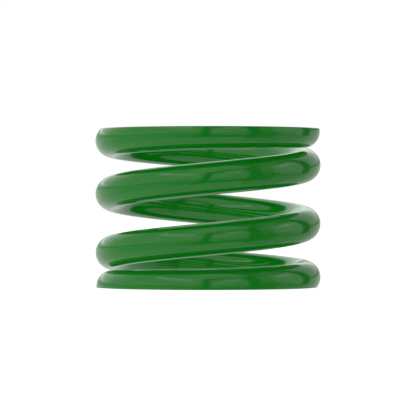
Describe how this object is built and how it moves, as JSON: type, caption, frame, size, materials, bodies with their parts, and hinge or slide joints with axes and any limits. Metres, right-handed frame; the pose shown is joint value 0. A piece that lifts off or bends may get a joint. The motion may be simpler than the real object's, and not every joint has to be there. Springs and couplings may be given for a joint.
{
  "type": "die spring",
  "caption": "Compression spring of round wire, wound right-handed, with closed and flat-ground ends and a glossy green painted finish.",
  "frame": {"origin": "centre of the bottom ground face's plane, on the axis of the coil", "axes": "+Z along the coil's axis towards its top end; the wire's two tips lie on either side just in front of the X axis, the bottom one at -X and the top one at +X, and the middle of the wire is at the back, +Y"},
  "size_m": [0.049, 0.049, 0.0345],
  "materials": {
    "green_enamel": "glossy enamel over spring steel"
  },
  "bodies": {
    "root": {"coil": "green_enamel"}
  },
  "joints": []
}
